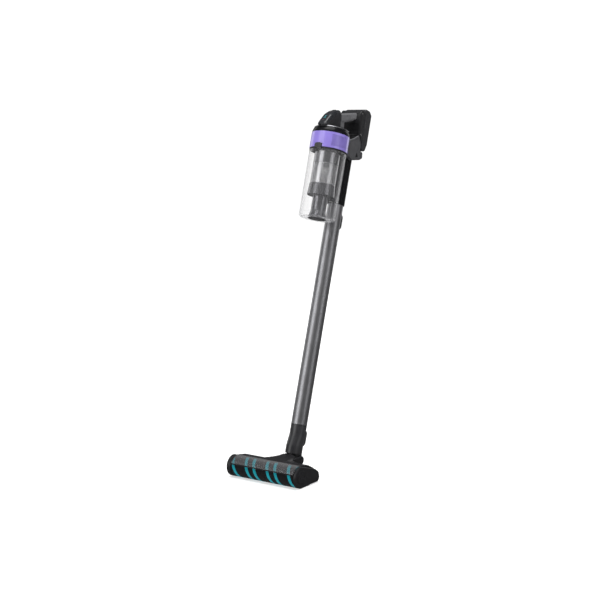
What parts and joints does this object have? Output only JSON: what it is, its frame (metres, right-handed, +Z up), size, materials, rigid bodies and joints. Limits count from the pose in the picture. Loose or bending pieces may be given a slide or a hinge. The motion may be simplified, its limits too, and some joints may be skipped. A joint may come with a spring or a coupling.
{
  "type": "cordless stick vacuum",
  "caption": "Cordless stick vacuum: clear dust bin and handle with battery on a straight tube, and a soft-roller floor head on a swivel neck.",
  "frame": {"origin": "centre of the footprint's box, on the floor", "axes": "+Z up, -Y to the front, where the floor head points, +X to the left of someone facing the cleaner's front, along the roller"},
  "size_m": [0.2506, 0.5372, 1.0807],
  "materials": {
    "black_gloss": "polished black",
    "board": "printed board",
    "cell": "sleeved cell",
    "clear": "clear, tinted slightly grey",
    "core": "moulded core",
    "dark_shell": "fine moulded grain, dark grey",
    "felt": "felt",
    "fleece": "dense black fleece with teal strips",
    "foam": "filter foam",
    "head_plastic": "dark grey, fine grain",
    "key": "soft-touch key",
    "lens": "gloss display lens",
    "mesh": "perforated metal",
    "metal_grey": "satin metal",
    "mid_grey": "satin grey moulding",
    "paper": "pleated filter paper",
    "rubber": "black rubber",
    "steel": "steel",
    "trim": "satin bright trim",
    "tube_metal": "anodised, satin dark grey",
    "violet_gloss": "satin violet",
    "white_nylon": "nylon"
  },
  "bodies": {
    "main_unit": {"air_duct": "black_gloss", "motor_housing": "dark_shell", "terminal_block": "board", "separator_ring": "violet_gloss", "top_cap": "black_gloss", "cap_trim": "trim", "console_shell": "dark_shell", "display_lens": "lens", "control_board": "board", "grip_shell_left": "dark_shell", "grip_shell_right": "dark_shell", "battery_cradle": "dark_shell", "suction_motor": "steel", "motor_mount": "rubber", "exhaust_filter": "paper", "pre_filter": "foam", "cyclone_band": "metal_grey", "cyclone_mesh": "mesh", "cyclone_skirt": "mid_grey", "cyclone_stem": "mid_grey"},
    "suction_rotor": {"impeller": "white_nylon", "motor_shaft": "steel"},
    "dust_bin": {"bin_cup": "clear", "bin_foot": "dark_shell", "bin_seal": "rubber"},
    "bin_button": {"bin_release_button": "key"},
    "power_button": {"power_key": "key"},
    "mode_button": {"mode_key": "key"},
    "battery": {"battery_case": "dark_shell", "battery_lid": "dark_shell", "battery_cells": "cell"},
    "battery_latch_l": {"battery_latch_left": "key"},
    "battery_latch_r": {"battery_latch_right": "key"},
    "stick": {"tube": "tube_metal", "tube_collar": "black_gloss", "tube_socket": "head_plastic", "tube_wire_duct": "head_plastic"},
    "tube_latch": {"tube_button": "key"},
    "neck": {"neck_shell": "dark_shell"},
    "neck_latch": {"neck_button": "key"},
    "elbow": {"elbow": "head_plastic", "elbow_pins": "steel"},
    "head": {"head_casing": "head_plastic", "head_window": "clear", "belt_housing": "head_plastic", "belt_cover": "head_plastic", "end_cap": "head_plastic", "duct_fairing": "head_plastic", "sole_plate": "head_plastic", "sole_screws": "steel", "rear_felt_strip": "felt", "brush_motor": "steel", "roller_bearing": "steel", "drive_belt": "rubber"},
    "roller": {"roller_core": "core", "roller_fleece": "fleece", "roller_pulley": "white_nylon"},
    "brush_rotor": {"motor_pulley": "white_nylon"},
    "wheels": {"floor_wheels": "rubber"},
    "lock_dial": {"roller_lock": "key"}
  },
  "joints": [
    {"name": "rotor_spin", "type": "hinge", "parent": "main_unit", "child": "suction_rotor", "pos_m": [0, 0.08987, 0.98342], "axis": [0, 0.2874, 0.9578], "continuous": true},
    {"name": "bin_slide", "type": "slide", "parent": "main_unit", "child": "dust_bin", "axis": [0, -0.2874, -0.9578], "range_m": [0, 0.21]},
    {"name": "bin_button_press", "type": "slide", "parent": "main_unit", "child": "bin_button", "axis": [0, 0.9578, -0.2874], "range_m": [0, 0.002], "stiffness_N_per_m": 600},
    {"name": "power_key_press", "type": "slide", "parent": "main_unit", "child": "power_button", "axis": [0, 0.1271, -0.9919], "range_m": [0, 0.0012], "stiffness_N_per_m": 600},
    {"name": "mode_key_press", "type": "slide", "parent": "main_unit", "child": "mode_button", "axis": [0, 0.2974, -0.9548], "range_m": [0, 0.0012], "stiffness_N_per_m": 600},
    {"name": "battery_slide", "type": "slide", "parent": "main_unit", "child": "battery", "axis": [0, 0.2301, 0.9732], "range_m": [0, 0.06]},
    {"name": "latch_left_press", "type": "slide", "parent": "battery", "child": "battery_latch_l", "axis": [1, 0, 0], "range_m": [0, 0.0015], "stiffness_N_per_m": 600},
    {"name": "latch_right_press", "type": "slide", "parent": "battery", "child": "battery_latch_r", "axis": [-1, 0, 0], "range_m": [0, 0.0015], "stiffness_N_per_m": 600},
    {"name": "tube_slide", "type": "slide", "parent": "main_unit", "child": "stick", "axis": [0, -0.2874, -0.9578], "range_m": [0, 0.042]},
    {"name": "tube_button_press", "type": "slide", "parent": "stick", "child": "tube_latch", "axis": [0, -0.9578, 0.2874], "range_m": [0, 0.002], "stiffness_N_per_m": 600},
    {"name": "neck_slide", "type": "slide", "parent": "stick", "child": "neck", "axis": [0, -0.2874, -0.9578], "range_m": [0, 0.042]},
    {"name": "neck_button_press", "type": "slide", "parent": "neck", "child": "neck_latch", "axis": [0, -0.9578, 0.2874], "range_m": [0, 0.002], "stiffness_N_per_m": 600},
    {"name": "head_swivel", "type": "hinge", "parent": "neck", "child": "elbow", "pos_m": [0, -0.09653, 0.05796], "axis": [0, 0.2874, 0.9578], "range_deg": [-90, 90]},
    {"name": "head_pitch", "type": "hinge", "parent": "elbow", "child": "head", "pos_m": [0, -0.10228, 0.0388], "axis": [1, 0, 0], "range_deg": [-8, 65]},
    {"name": "roller_spin", "type": "hinge", "parent": "head", "child": "roller", "pos_m": [0, -0.23668, 0.031], "axis": [1, 0, 0], "continuous": true},
    {"name": "brush_motor_spin", "type": "hinge", "parent": "head", "child": "brush_rotor", "pos_m": [-0.118, -0.17868, 0.024], "axis": [1, 0, 0], "continuous": true},
    {"name": "wheels_roll", "type": "hinge", "parent": "head", "child": "wheels", "pos_m": [0, -0.13618, 0.0085], "axis": [1, 0, 0], "continuous": true},
    {"name": "lock_turn", "type": "hinge", "parent": "head", "child": "lock_dial", "pos_m": [0.125, -0.23668, 0.0323], "axis": [1, 0, 0], "range_deg": [0, 45]}
  ],
  "couplings": [
    {"joint": "brush_motor_spin", "follows": "roller_spin", "ratio": 2}
  ]
}
